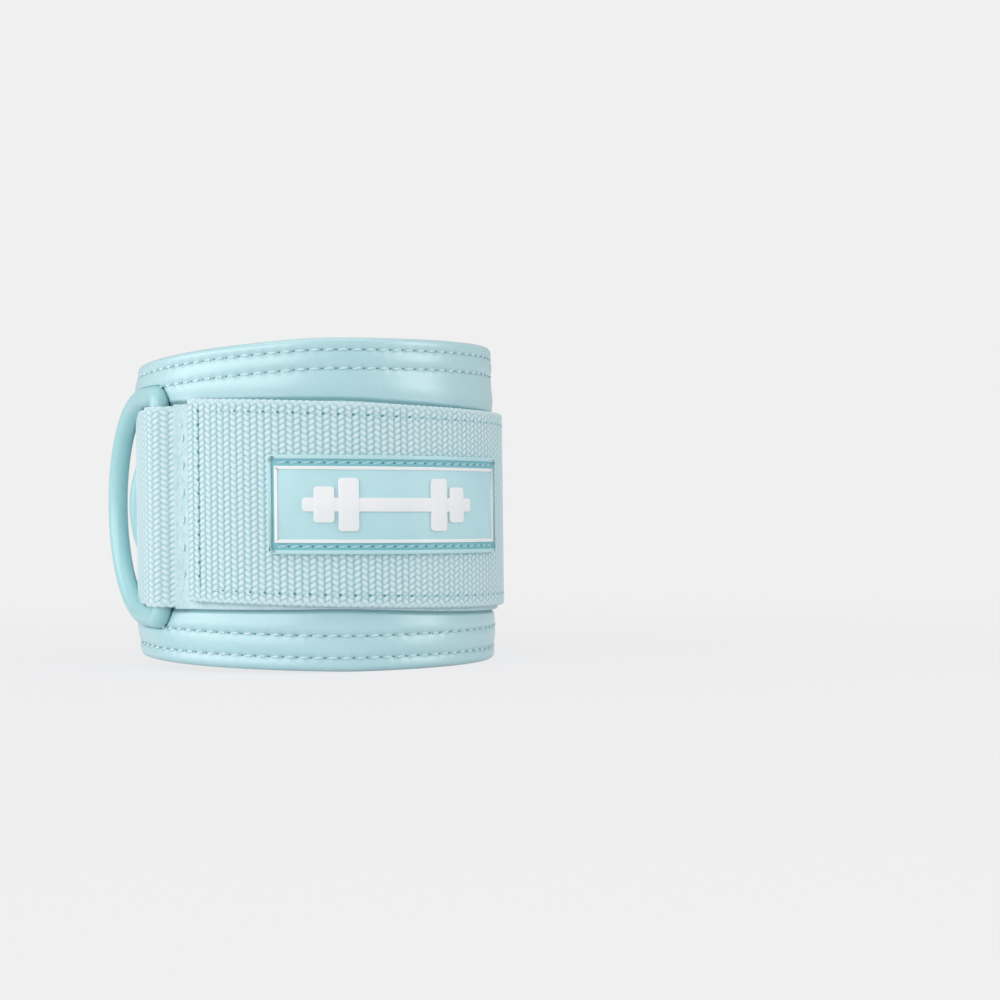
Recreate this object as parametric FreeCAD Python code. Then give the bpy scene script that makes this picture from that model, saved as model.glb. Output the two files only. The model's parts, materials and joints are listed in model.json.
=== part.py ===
import FreeCAD, Part
import math
import os

from FreeCAD import Placement, Rotation, Vector

# Padded ankle cuff with a hook-and-loop strap and two D-rings, standing on its rim.
# The leg axis is +Z through the origin and the lower rim rests on z = 0. Angles are in
# degrees about that axis, from the front (-Y) towards +X. Lengths are in millimetres.

# Padded cuff
pad_radius = 46.6          # outside of the cuff
pad_thickness = 7.0
pad_height = 82.0
pad_front_end = -88.0      # end beside the front ring
pad_rear_end = 236.0       # end beside the rear ring
pad_corner = 11.0          # rounding of the four corners, seen on the flat
skin_thickness = 0.8
lining_thickness = 1.0

# Webbing, loop tape and hook tape
webbing_width = 50.0
webbing_thickness = 1.2
bed_depth = 0.8            # how far the webbing is pulled into the pad
bed_margin = 0.5           # bed beyond each edge of the webbing
bed_gap = 0.05             # the webbing bears on its bed only along its sewn lines
loop_width = 50.8
loop_thickness = 0.6
loop_start = -51.2
loop_end = 102.0
hook_width = 44.0
hook_thickness = 0.5
layer_gap = 0.1            # free play between layers that slide or part

# Wrapped strap, from where it leaves the pad to its tip
strap_tip_end = -39.7
tip_hinge = -18.0
patch_hinge = 72.0
side_hinge = 105.0
climb_start = 138.0        # the strap rises onto the tapes between these two angles
climb_end = 110.0
slit_rise_start = 266.0    # the strap rises onto the rear wing between these two
slit_rise_end = 240.0
strap_tilt = 2.35          # the wrapped strap slopes down to the right
tilt_line = 8.0            # x of the level line about which it slopes
hinge_gap = 0.15           # degrees left open on each side of a fold line

# D-rings
wire_radius = 2.5
ring_inner_width = 51.0
ring_depth = 37.0          # bar centre to bow centre
bow_depth = 26.0           # the curved part of that depth
bar_fit = 0.05             # running clearance round the bar
bar_sink = 0.35            # how far the bar is pressed into the bed
dent_gap = 0.15            # clearance where the pad gives way to the wire
front_bar = -54.2
front_lean = -14.2         # from the tangent, outwards is positive
rear_bar = 200.6
rear_lean = 41.5
rear_low_lean = 13.5       # the least lean that its strap leaves room for
swell_half_angle = 12.0    # webbing lifts over the bar within this angle

# Sewn-on rubber patch
patch_start = -13.7
patch_end = 65.3
patch_height = 24.2
patch_thickness = 0.8
patch_tilt = 0.9
rim_width = 0.9
rim_rise = 0.3
channel_width = 1.0
border_width = 0.8
border_rise = 0.25
emblem_rise = 0.4
emblem_length = 41.0
emblem_height = 12.0
handle_height = 2.6
outer_plate_height = 7.6
plate_width = 4.2
plate_gap = 1.0

# Stitching
thread_width = 0.6
thread_height = 0.2
thread_gap = 0.03          # a row of thread bears on its cloth only at its holes
upper_rows = (3.0, 7.6)    # below the upper rim
lower_rows = (3.4, 8.8)    # above the lower rim
end_row_inset = 3.0
webbing_row_inset = 3.0
tip_row_inset = 2.5
loop_row = -43.8
ring_row = -66.8

# Values that follow
mid_height = pad_height / 2
bed_radius = pad_radius - bed_depth
lining_radius = pad_radius - pad_thickness
core_radius = lining_radius + lining_thickness
loop_radius = bed_radius + webbing_thickness
hook_radius = loop_radius + loop_thickness + layer_gap
strap_radius = hook_radius + hook_thickness
strap_face = strap_radius + webbing_thickness
patch_face = strap_face + patch_thickness
over_base = bed_radius + webbing_thickness + layer_gap
bar_radius = bed_radius + wire_radius + bar_fit - bar_sink
swell_height = bar_radius + wire_radius + bar_fit - bed_radius
ring_half = ring_inner_width / 2 + wire_radius
ring_corner = ring_half - webbing_width / 2
thread_rise = thread_gap + thread_height

# Construction
curve_step = 1.5           # degrees between the points of a curve
least_spans = 4
slab_reach = 200.0         # well outside the whole cuff
cut_margin = 1.0           # how far a cutting shape runs past what it cuts


def arc_degrees(length, radius):
    return math.degrees(length / radius)


def polar(angle, radius, z=0.0):
    turn = math.radians(angle)
    return Vector(radius * math.sin(turn), -radius * math.cos(turn), z)


def ease(value):
    value = min(max(value, 0.0), 1.0)
    return value * value * (3.0 - 2.0 * value)


def swell(angle):
    # Lift of the webbing where it runs over a ring's bar.
    lift = 0.0
    for bar in (front_bar, rear_bar):
        away = abs((angle - bar + 180.0) % 360.0 - 180.0)
        if away < swell_half_angle:
            lift += swell_height * math.cos(math.pi * away / (2 * swell_half_angle)) ** 2
    return lift


def on_bed(radius):
    return lambda angle: radius + swell(angle)


def plain(radius):
    return lambda angle: radius


def wrapped_strap(extra):
    # Inner face of the wrapped strap behind the side hinge, plus an offset.
    def radius_at(angle):
        climb = ease((climb_start - angle) / (climb_start - climb_end))
        drop = ease((angle - slit_rise_end) / (slit_rise_start - slit_rise_end))
        radius = over_base + climb * (strap_radius - over_base) - drop * (over_base - bed_radius)
        return radius + swell(angle) + extra
    return radius_at


def edge_curve(start, end, radius_at):
    count = max(least_spans, math.ceil((end - start) / curve_step))
    angles = [start + (end - start) * i / count for i in range(count + 1)]
    curve = Part.BSplineCurve()
    curve.interpolate([polar(angle, radius_at(angle)) for angle in angles])
    return curve.toShape()


def band(start, end, inner, outer, bottom, top):
    # A layer wrapped round the leg axis between two radius functions.
    inner_edge = edge_curve(start, end, inner)
    outer_edge = edge_curve(start, end, outer)
    first = Part.makeLine(polar(start, inner(start)), polar(start, outer(start)))
    last = Part.makeLine(polar(end, inner(end)), polar(end, outer(end)))
    face = Part.Face(Part.Wire(Part.__sortEdges__([inner_edge, last, outer_edge, first])))
    solid = face.extrude(Vector(0, 0, top - bottom))
    solid.translate(Vector(0, 0, bottom))
    return solid


def tilted_slab(width, tilt, offset=0.0):
    # Level-edged slab across the leg axis, sloping down towards +X.
    slab = Part.makeBox(2 * slab_reach, 2 * slab_reach, width)
    slab.translate(Vector(-slab_reach, -slab_reach, offset - width / 2))
    slab.rotate(Vector(0, 0, 0), Vector(0, 1, 0), tilt)
    slab.translate(Vector(tilt_line, 0, mid_height))
    return slab


def tilted_band(start, end, inner, outer, width, tilt=strap_tilt, offset=0.0):
    tall = band(start, end, inner, outer, 0.0, pad_height)
    return tall.common(tilted_slab(width, tilt, offset))


def sector(radius, start, end, bottom, top):
    wedge = Part.makeCylinder(radius, top - bottom, Vector(0, 0, bottom), Vector(0, 0, 1), end - start)
    wedge.rotate(Vector(0, 0, 0), Vector(0, 0, 1), start - 90.0)
    return wedge


def corner_waste(angle, side, z, up, radius):
    # What is cut away to round one corner of the pad; side and up point into the pad.
    tangent = polar(angle + 90.0, 1.0) * side
    inward = Vector(0, 0, up)
    origin = polar(angle, lining_radius - pad_corner, z)

    def at(along, across):
        return origin + tangent * along + inward * across

    middle = radius * (1 - math.sqrt(0.5))
    past = -cut_margin
    edges = [
        Part.makeLine(at(past, past), at(radius, past)),
        Part.makeLine(at(radius, past), at(radius, 0)),
        Part.Arc(at(radius, 0), at(middle, middle), at(0, radius)).toShape(),
        Part.makeLine(at(0, radius), at(past, radius)),
        Part.makeLine(at(past, radius), at(past, past)),
    ]
    face = Part.Face(Part.Wire(edges))
    return face.extrude(polar(angle, pad_thickness + 2 * pad_corner))


def pad_block(inner, outer, inset):
    # C-shaped block of the pad, its rims and ends drawn in by the inset.
    start = pad_front_end + arc_degrees(inset, pad_radius)
    end = pad_rear_end - arc_degrees(inset, pad_radius)
    bottom = inset
    top = pad_height - inset
    block = sector(outer, start, end, bottom, top)
    block = block.cut(Part.makeCylinder(inner, pad_height))
    waste = []
    for angle, side in ((start, 1), (end, -1)):
        for z, up in ((bottom, 1), (top, -1)):
            waste.append(corner_waste(angle, side, z, up, pad_corner - inset))
    return block.cut(waste)


def bed_waste(depth_radius, inset):
    # Shallow channel that the webbing presses into the outside of the pad.
    half = webbing_width / 2 + bed_margin + inset
    ring = Part.makeCylinder(pad_radius + cut_margin, 2 * half, Vector(0, 0, mid_height - half))
    hole = Part.makeCylinder(depth_radius, 2 * half, Vector(0, 0, mid_height - half))
    return ring.cut(hole)


def ring_shape(radius):
    # D-ring with its bar on the local Z axis and its bow towards local X.
    leg_end = ring_depth - bow_depth
    corner = ring_corner
    near = corner * (1 - math.sqrt(0.5))
    straight = ring_half - corner

    def at(along, height):
        return Vector(along, 0, height)

    stretch = FreeCAD.Matrix()
    stretch.scale(bow_depth, 1.0, ring_half)
    stretch.move(leg_end, 0.0, 0.0)
    bow = Part.Arc(at(0, 1), at(1, 0), at(0, -1)).toShape().transformGeometry(stretch)
    edges = [Part.makeLine(at(0, -straight), at(0, straight)), bow]
    for up in (1, -1):
        edges.append(Part.Arc(at(0, up * straight), at(near, up * (ring_half - near)),
                              at(corner, up * ring_half)).toShape())
        edges.append(Part.makeLine(at(corner, up * ring_half), at(leg_end, up * ring_half)))
    path = Part.Wire(Part.__sortEdges__(edges))
    start = path.OrderedEdges[0]
    centre = start.valueAt(start.FirstParameter)
    direction = start.tangentAt(start.FirstParameter)
    section = Part.Wire(Part.makeCircle(radius, centre, direction))
    pipe = path.makePipeShell([section], True, True)
    return pipe if pipe.ShapeType == "Solid" else Part.Solid(Part.Shell(pipe.Faces))


def placed_ring(radius, bar, towards, lean):
    # towards is +1 where the bow points to larger angles and -1 to smaller ones.
    heading = bar + towards * (90.0 - lean)
    ring = ring_shape(radius)
    ring.Placement = Placement(polar(bar, bar_radius, mid_height),
                               Rotation(Vector(0, 0, 1), heading - 90.0))
    return ring


def front_ring(radius):
    return placed_ring(radius, front_bar, -1, front_lean)


def rear_ring(radius):
    return placed_ring(radius, rear_bar, 1, rear_lean)


def bar_seat(bar, wire):
    # Room for the rounded ends of a bar as its ring swings.
    half = ring_half + wire - wire_radius
    radius = wire + layer_gap
    return Part.makeCylinder(radius, 2 * half, polar(bar, bar_radius, mid_height - half))


def dented(shape, depth):
    # The pad gives way under the bars and under each ring at its lowest.
    wire = wire_radius + dent_gap + depth
    for tool in (front_ring(wire), placed_ring(wire, rear_bar, 1, rear_low_lean)):
        shape = shape.cut(tool)
    for bar in (front_bar, rear_bar):
        shape = shape.cut(bar_seat(bar, wire))
    return shape


def pad_parts():
    bed = bed_radius - bed_gap
    whole = dented(pad_block(core_radius, pad_radius, 0.0).cut(bed_waste(bed, 0.0)), 0.0)
    core = pad_block(core_radius, pad_radius - skin_thickness, skin_thickness)
    core = core.cut(bed_waste(bed - skin_thickness, skin_thickness))
    core = dented(core, skin_thickness)
    skin = whole.cut(core)
    lining = pad_block(lining_radius, core_radius, 0.0)
    return {"outer_skin": skin, "foam_core": core, "inner_lining": lining}


def webbing_band(start, end, inner, outer, width):
    half = width / 2
    return band(start, end, inner, outer, mid_height - half, mid_height + half)


def base_webbing():
    end = pad_rear_end - arc_degrees(end_row_inset, pad_radius)
    solid = webbing_band(pad_front_end, end, on_bed(bed_radius), on_bed(loop_radius), webbing_width)
    return solid.cut(front_ring_bow())


def front_ring_bow():
    # Only the part of the leaning ring beyond its bar presses on the webbing's edges.
    wire = front_ring(wire_radius + dent_gap)
    clear = swell_half_angle / 2
    keep = sector(pad_radius + ring_depth, front_bar - 90.0, front_bar - clear, 0.0, pad_height)
    return wire.common(keep)


def loop_tape():
    outer = on_bed(loop_radius + loop_thickness)
    return webbing_band(loop_start, loop_end, on_bed(loop_radius), outer, loop_width)


def strap_rear():
    # Level behind the left side, then on the same slope as the rest of the strap.
    turn = 180.0 - math.degrees(math.asin(tilt_line / strap_radius))
    inner = wrapped_strap(0.0)
    outer = wrapped_strap(webbing_thickness)
    level = webbing_band(turn, 360.0 + pad_front_end, inner, outer, webbing_width)
    start = side_hinge + hinge_gap
    sloping = tilted_band(start, turn, inner, outer, webbing_width)
    return level.cut(front_ring_bow()).fuse(sloping)


def strap_piece(start, end):
    return tilted_band(start, end, plain(strap_radius), plain(strap_face), webbing_width)


def hook_piece(start, end):
    return tilted_band(start, end, plain(hook_radius), plain(strap_radius), hook_width)


def edge_rows(start, end):
    # The two rows of thread along the long edges of a strap piece.
    rows = []
    for up in (1, -1):
        offset = up * (webbing_width / 2 - webbing_row_inset)
        rows.append(tilted_band(start, end, plain(strap_face + thread_gap),
                                plain(strap_face + thread_rise), thread_width, strap_tilt, offset))
    return rows


def upright_row(angle, radius, bottom, top):
    half = arc_degrees(thread_width, radius) / 2
    return band(angle - half, angle + half, on_bed(radius + thread_gap),
                on_bed(radius + thread_rise), bottom, top)


def strap_parts():
    row = webbing_width / 2 - webbing_row_inset
    tip_row = strap_tip_end + arc_degrees(tip_row_inset, strap_face)
    half = arc_degrees(thread_width, strap_face) / 2
    cross = tilted_band(tip_row - half, tip_row + half, plain(strap_face + thread_gap),
                        plain(strap_face + thread_rise), 2 * row - thread_width)
    tip = (strap_tip_end, tip_hinge - hinge_gap)
    middle = (tip_hinge + hinge_gap, patch_hinge - hinge_gap)
    side = (patch_hinge + hinge_gap, side_hinge - hinge_gap)
    parts = {
        "strap_tip": strap_piece(*tip),
        "strap_middle": strap_piece(*middle),
        "strap_side": strap_piece(*side),
        "hook_tape_tip": hook_piece(strap_tip_end + half, tip[1]),
        "hook_tape_middle": hook_piece(*middle),
        "hook_tape_side": hook_piece(side[0], loop_end - half),
        "strap_tip_stitching": Part.makeCompound(edge_rows(tip_row + half, tip[1]) + [cross]),
        "strap_middle_stitching": Part.makeCompound(edge_rows(*middle)),
        "strap_side_stitching": Part.makeCompound(edge_rows(*side)),
    }
    return parts


def patch_frame(inset, width, inner, outer):
    # Rectangular frame on the patch, an inset from its edges.
    margin = arc_degrees(inset, patch_face)
    step = arc_degrees(width, patch_face)
    start = patch_start + margin
    end = patch_end - margin
    height = patch_height - 2 * inset
    whole = tilted_band(start, end, plain(inner), plain(outer), height, patch_tilt)
    hole = tilted_band(start + step, end - step, plain(inner - cut_margin),
                       plain(outer + cut_margin), height - 2 * width, patch_tilt)
    return whole.cut(hole)


def emblem():
    # A dumbbell: a handle with two plates at each end.
    centre = (patch_start + patch_end) / 2
    inner = plain(patch_face)
    outer = plain(patch_face + emblem_rise)
    half = emblem_length / 2
    cap = (half - 2 * (plate_width + plate_gap)) + plate_width
    spans = [
        (-half, half, handle_height),
        (-cap, -cap + plate_width, emblem_height),
        (cap - plate_width, cap, emblem_height),
        (-cap - plate_gap - plate_width, -cap - plate_gap, outer_plate_height),
        (cap + plate_gap, cap + plate_gap + plate_width, outer_plate_height),
    ]
    pieces = []
    for left, right, height in spans:
        first = centre + arc_degrees(left, patch_face)
        last = centre + arc_degrees(right, patch_face)
        pieces.append(tilted_band(first, last, inner, outer, height, patch_tilt))
    return pieces[0].fuse(pieces[1:])


def patch_parts():
    slab = tilted_band(patch_start, patch_end, plain(strap_face), plain(patch_face),
                       patch_height, patch_tilt)
    rim = patch_frame(0.0, rim_width, patch_face, patch_face + rim_rise)
    thread_inset = rim_width + (channel_width - thread_width) / 2
    border_inset = rim_width + channel_width
    return {
        "patch_base": slab.fuse(rim),
        "patch_border": patch_frame(border_inset, border_width, patch_face, patch_face + border_rise),
        "patch_stitching": patch_frame(thread_inset, thread_width, patch_face + thread_gap,
                                       patch_face + thread_rise),
        "patch_emblem": emblem(),
    }


def rim_row(z):
    inset = arc_degrees(pad_corner, pad_radius)
    return band(pad_front_end + inset, pad_rear_end - inset, plain(pad_radius + thread_gap),
                plain(pad_radius + thread_rise), z - thread_width / 2, z + thread_width / 2)


def end_rows(angle):
    # The upright row near one end of the pad, above and below the webbing.
    half = arc_degrees(thread_width, pad_radius) / 2
    bed_half = webbing_width / 2 + bed_margin
    face = plain(pad_radius + thread_gap)
    proud = plain(pad_radius + thread_rise)
    low = band(angle - half, angle + half, face, proud, pad_corner, mid_height - bed_half)
    high = band(angle - half, angle + half, face, proud, mid_height + bed_half,
                pad_height - pad_corner)
    wire = front_ring(wire_radius + dent_gap)
    return Part.makeCompound([low.cut(wire), high.cut(wire)])


def stitching_parts():
    row = webbing_width / 2 - webbing_row_inset
    inset = arc_degrees(end_row_inset, pad_radius)
    return {
        "edge_stitching_upper": Part.makeCompound([rim_row(pad_height - z) for z in upper_rows]),
        "edge_stitching_lower": Part.makeCompound([rim_row(z) for z in lower_rows]),
        "end_stitching_front": end_rows(pad_front_end + inset),
        "end_stitching_rear": end_rows(pad_rear_end - inset),
        "loop_tape_stitching": upright_row(loop_row, loop_radius + loop_thickness,
                                           mid_height - row, mid_height + row),
        "ring_stitching_front": upright_row(ring_row, loop_radius,
                                            mid_height - row, mid_height + row),
    }


def all_parts():
    parts = pad_parts()
    parts.update(stitching_parts())
    parts["base_webbing"] = base_webbing()
    parts["loop_tape"] = loop_tape()
    parts["strap_rear"] = strap_rear()
    parts.update(strap_parts())
    parts.update(patch_parts())
    parts["front_d_ring"] = front_ring(wire_radius)
    parts["rear_d_ring"] = rear_ring(wire_radius)
    return parts


os.makedirs("parts", exist_ok=True)
for name, shape in all_parts().items():
    shape.exportStep("parts/" + name + ".step")
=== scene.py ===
import json
import math
import random

import bmesh
import bpy
import numpy as np
from mathutils import Matrix, Vector


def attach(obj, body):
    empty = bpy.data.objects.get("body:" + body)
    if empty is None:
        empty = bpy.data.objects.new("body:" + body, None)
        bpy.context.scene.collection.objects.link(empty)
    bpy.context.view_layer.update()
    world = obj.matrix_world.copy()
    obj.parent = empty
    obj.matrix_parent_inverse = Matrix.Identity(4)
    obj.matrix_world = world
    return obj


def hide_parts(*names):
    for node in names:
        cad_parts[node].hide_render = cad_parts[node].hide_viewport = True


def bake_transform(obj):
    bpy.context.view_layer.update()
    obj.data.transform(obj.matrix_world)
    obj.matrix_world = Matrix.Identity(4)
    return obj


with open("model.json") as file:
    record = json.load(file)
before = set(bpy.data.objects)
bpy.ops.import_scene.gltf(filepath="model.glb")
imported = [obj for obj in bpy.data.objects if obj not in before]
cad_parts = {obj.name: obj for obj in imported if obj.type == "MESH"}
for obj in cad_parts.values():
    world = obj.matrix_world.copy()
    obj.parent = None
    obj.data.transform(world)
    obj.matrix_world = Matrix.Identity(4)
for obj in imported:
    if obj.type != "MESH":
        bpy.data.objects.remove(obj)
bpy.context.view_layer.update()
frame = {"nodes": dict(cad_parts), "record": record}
random.seed(7)
chance = np.random.default_rng(7)

MM = 0.001
NODES = frame["nodes"]
JOINTS = {joint["name"]: joint for joint in frame["record"]["behaviour"]["joints"]}


# ---------------------------------------------------------------- sizes from the CAD part

class Span:
    """A CAD node's extent round the leg axis: angles in degrees from the front, radii in metres."""

    def __init__(self, node):
        points = np.array([v.co for v in NODES[node].data.vertices])
        angles = np.degrees(np.arctan2(points[:, 0], -points[:, 1])) % 360.0
        order = np.sort(angles)
        gaps = np.diff(np.append(order, order[0] + 360.0))
        widest = int(np.argmax(gaps))
        self.start = float(order[(widest + 1) % len(order)])
        self.end = float(order[widest])
        if self.end < self.start:
            self.start -= 360.0
        elif self.start > 280.0:
            self.start -= 360.0
            self.end -= 360.0
        radii = np.hypot(points[:, 0], points[:, 1])
        self.inner = float(radii.min())
        self.outer = float(radii.max())
        self.low = float(points[:, 2].min())
        self.high = float(points[:, 2].max())


def joint_angle(name):
    x, y, _ = JOINTS[name]["pos_m"]
    return math.degrees(math.atan2(x, -y))


SKIN = Span("outer_skin")
LINING = Span("inner_lining")
BASE = Span("base_webbing")
LOOP = Span("loop_tape")
PILE_START = LOOP.start + 5.0  # the fleece begins a little inside the tape's own end
REAR = Span("strap_rear")
SIDE = Span("strap_side")
TIP = Span("strap_tip")
HOOK_TIP = Span("hook_tape_tip")
HOOK_SIDE = Span("hook_tape_side")
PATCH = Span("patch_base")

MID_HEIGHT = (SKIN.low + SKIN.high) / 2
PAD_RADIUS = SKIN.outer
BED_RADIUS = PAD_RADIUS - 0.8 * MM
BED_HALF = (BASE.high - BASE.low) / 2 + 0.5 * MM
WEB_HALF = (BASE.high - BASE.low) / 2
WEB_THICK = 1.2 * MM
LOOP_RADIUS = BED_RADIUS + WEB_THICK
STRAP_RADIUS = SIDE.inner
STRAP_FACE = SIDE.outer
OVER_BASE = LOOP_RADIUS + 0.1 * MM
STRAP_TILT = math.radians(2.35)
TILT_LINE = 8.0 * MM
BED_SLOPE = 0.065
PATCH_TILT = math.radians(0.9)
FRONT_BAR = joint_angle("front_ring_swing")
REAR_BAR = joint_angle("rear_ring_swing") % 360.0
TIP_FOLD = joint_angle("strap_tip_peel")
MIDDLE_FOLD = joint_angle("strap_middle_peel")
SIDE_FOLD = joint_angle("strap_side_peel")

# The D-rings: a straight bar, a short leg beyond each corner, and half an ellipse.
WIRE = 2.5 * MM
BAR_HALF = 25.0 * MM
RING_CORNER = 3.0 * MM
LEG_END = 11.0 * MM
BOW_REACH = 26.0 * MM
FRONT_LEAN = -14.2     # degrees from the tangent, at rest
REAR_LOW_LEAN = 13.5   # degrees from the tangent, at its lowest
RING_SWINGS = (0.0, 0.0, 35.0, 70.0, 103.0)  # degrees; twice where they lie deepest

SWELL = 4.75 * MM
SWELL_HALF = 12.0
PAD_START = SKIN.start
PAD_END = SKIN.end


def degrees_for(length, radius=PAD_RADIUS):
    return math.degrees(length / radius)


def smooth(t):
    t = np.clip(t, 0.0, 1.0)
    return t * t * (3.0 - 2.0 * t)


def swell(angle):
    """Lift of the webbing where it runs over a ring's bar."""
    lift = np.zeros_like(np.asarray(angle, float))
    for bar in (FRONT_BAR, REAR_BAR):
        away = np.abs((angle - bar + 180.0) % 360.0 - 180.0)
        share = np.clip(away / SWELL_HALF, 0.0, 1.0)
        lift = lift + SWELL * np.cos(math.pi / 2 * share) ** 2
    return lift


def strap_inner(angle):
    """Inner radius of the wrapped strap all the way from its root to its tip."""
    climb = smooth((138.0 - angle) / (138.0 - 110.0))
    drop = smooth((angle - 240.0) / (266.0 - 240.0))
    radius = OVER_BASE + climb * (STRAP_RADIUS - OVER_BASE) - drop * (OVER_BASE - BED_RADIUS)
    return radius + np.where(angle > 110.0, swell(angle), 0.0)


def base_inner(angle):
    return BED_RADIUS + swell(angle)


def bed_centre(angle):
    """Height of the sewn webbing's centre line, which slopes down on the right-hand side."""
    over = PAD_RADIUS * np.sin(np.radians(angle)) - TILT_LINE
    return MID_HEIGHT - BED_SLOPE * (over + np.sqrt(over ** 2 + (3.0 * MM) ** 2)) / 2


def around(angle, radius, height):
    turn = np.radians(angle)
    return np.stack([radius * np.sin(turn), -radius * np.cos(turn), height], axis=-1)


def strap_centre(angle, radius):
    """Height of the strap's centre line, level behind the left side and sloping elsewhere."""
    x = radius * np.sin(np.radians(angle))
    sloped = MID_HEIGHT - (x - TILT_LINE) * math.tan(STRAP_TILT)
    blend = smooth((angle - 165.0) / 30.0)
    return sloped * (1 - blend) + MID_HEIGHT * blend


# ---------------------------------------------------------------- shader helpers

class Value:
    """A socket that can be used in arithmetic."""

    def __init__(self, maker, socket):
        self.maker = maker
        self.socket = socket

    def _math(self, operation, *others):
        return self.maker.node("ShaderNodeMath", {"operation": operation},
                               {i: v for i, v in enumerate((self, *others))})

    def __add__(self, other):
        return self._math("ADD", other)

    def __mul__(self, other):
        return self._math("MULTIPLY", other)

    def clamped(self):
        return self.maker.node("ShaderNodeMath", {"operation": "ADD", "use_clamp": True},
                               {0: self, 1: 0.0})


class Finish:
    """One material and the nodes that make it."""

    def __init__(self, name):
        self.material = bpy.data.materials.new(name)
        self.material.use_nodes = True
        self.tree = self.material.node_tree
        self.tree.nodes.clear()
        self.output = self.tree.nodes.new("ShaderNodeOutputMaterial")

    def node(self, kind, settings=None, sockets=None, out=0):
        made = self.tree.nodes.new(kind)
        for name, value in (settings or {}).items():
            setattr(made, name, value)
        for name, value in (sockets or {}).items():
            if isinstance(value, Value):
                self.tree.links.new(value.socket, made.inputs[name])
            else:
                made.inputs[name].default_value = value
        return Value(self, made.outputs[out])

    def place(self):
        return self.node("ShaderNodeTexCoord", out="Object")

    def noise(self, scale, detail=3.0, rough=0.55, vector=None, distortion=0.0):
        return self.node("ShaderNodeTexNoise", {},
                         {"Vector": vector or self.place(), "Scale": scale, "Detail": detail,
                          "Roughness": rough, "Distortion": distortion}, "Fac")

    def ramp(self, value, low, high, first=0.0, last=1.0):
        return self.node("ShaderNodeMapRange", {"clamp": True},
                         {"Value": value, "From Min": low, "From Max": high,
                          "To Min": first, "To Max": last})

    def attribute(self, name):
        return self.node("ShaderNodeAttribute", {"attribute_name": name}, out="Fac")

    def mix(self, factor, first, second):
        return self.node("ShaderNodeMix", {"data_type": "RGBA"},
                         {"Factor": factor, 6: first, 7: second}, 2)

    def bump(self, height, distance, strength=1.0, normal=None):
        sockets = {"Height": height, "Distance": distance, "Strength": strength}
        if normal:
            sockets["Normal"] = normal
        return self.node("ShaderNodeBump", {}, sockets)

    def surface(self, **sockets):
        named = {name.replace("_", " "): value for name, value in sockets.items()}
        shader = self.node("ShaderNodeBsdfPrincipled", {}, named)
        self.tree.links.new(shader.socket, self.output.inputs["Surface"])
        return self.material


def srgb(red, green, blue):
    def linear(value):
        value /= 255.0
        return value / 12.92 if value <= 0.04045 else ((value + 0.055) / 1.055) ** 2.4
    return (linear(red), linear(green), linear(blue), 1.0)


# ---------------------------------------------------------------- finishes

def synthetic_leather():
    f = Finish("synthetic_leather")
    grain = f.node("ShaderNodeTexVoronoi", {"feature": "F1"},
                   {"Vector": f.place(), "Scale": 1700.0, "Randomness": 1.0}, "Distance")
    fine = f.noise(2600.0, 2.0)
    creases = f.noise(150.0, 4.0, 0.6, distortion=1.2)
    tone = f.noise(38.0, 3.0)
    colour = f.mix(f.ramp(tone, 0.3, 0.7), srgb(172, 213, 219), srgb(180, 219, 224))
    # Painted shade along the sewn rows: the cover darkens towards each row's line of holes.
    hole_shade = f.attribute("painted_row_shade")
    colour = f.mix(f.ramp(hole_shade, 0.0, 1.0), colour, srgb(98, 150, 160))
    rough = f.ramp(fine, 0.3, 0.7, 0.30, 0.40)
    height = grain * 0.55 + fine * 0.45
    normal = f.bump(height, 0.00003, 0.55)
    normal = f.bump(f.ramp(creases, 0.35, 0.75), 0.00022, 0.30, normal)
    return f.surface(Base_Color=colour, Roughness=rough, Normal=normal, Specular_IOR_Level=0.9,
                     Coat_Weight=0.7, Coat_Roughness=0.3)


def woven(name, light, dark, gap):
    f = Finish(name)
    crown = f.attribute("crown")
    strands = f.node("ShaderNodeUVMap", {"uv_map": "weave"})
    streak = f.node("ShaderNodeTexNoise", {"noise_dimensions": "2D"},
                    {"Vector": f.node("ShaderNodeMapping", {},
                                      {"Vector": strands, "Scale": (1.2, 14.0, 1.0)}),
                     "Scale": 1.0, "Detail": 2.0}, "Fac")
    broad = f.noise(60.0, 2.0)
    fuzz = f.noise(3500.0, 2.0)
    body = f.mix(f.ramp(streak, 0.3, 0.7), dark, light)
    body = f.mix(f.ramp(broad, 0.35, 0.65, 0.0, 0.35), body, dark)
    # The weave's low places take the gap colour: partly the dye, partly painted shade between the
    # threads.
    colour = f.mix(f.ramp(crown, 0.12, 0.66), gap, body)
    # Painted highlight: the highest crowns are whitened towards a near-white glint.
    colour = f.mix(f.ramp(crown, 0.66, 0.98, 0.0, 0.6), colour, srgb(236, 242, 245))
    normal = f.bump(streak * 0.7 + fuzz * 0.3, 0.00008, 0.6)
    return f.surface(Base_Color=colour, Roughness=0.72, Normal=normal,
                     Specular_IOR_Level=0.3, Sheen_Weight=0.15, Sheen_Roughness=0.5)


def loop_pile():
    f = Finish("loop_pile")
    curls = f.node("ShaderNodeTexVoronoi", {"feature": "SMOOTH_F1"},
                   {"Vector": f.place(), "Scale": 1500.0, "Randomness": 1.0}, "Distance")
    matted = f.noise(420.0, 4.0, 0.7)
    colour = f.mix(f.ramp(matted, 0.3, 0.7), srgb(190, 221, 226), srgb(214, 234, 238))
    colour = f.mix(f.ramp(curls, 0.0, 0.9, 0.0, 0.25), colour, srgb(140, 186, 195))
    normal = f.bump(curls * 0.5 + matted * 0.5, 0.00035, 0.9)
    return f.surface(Base_Color=colour, Roughness=0.9, Normal=normal,
                     Specular_IOR_Level=0.2, Sheen_Weight=0.3, Sheen_Roughness=0.5)


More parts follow.
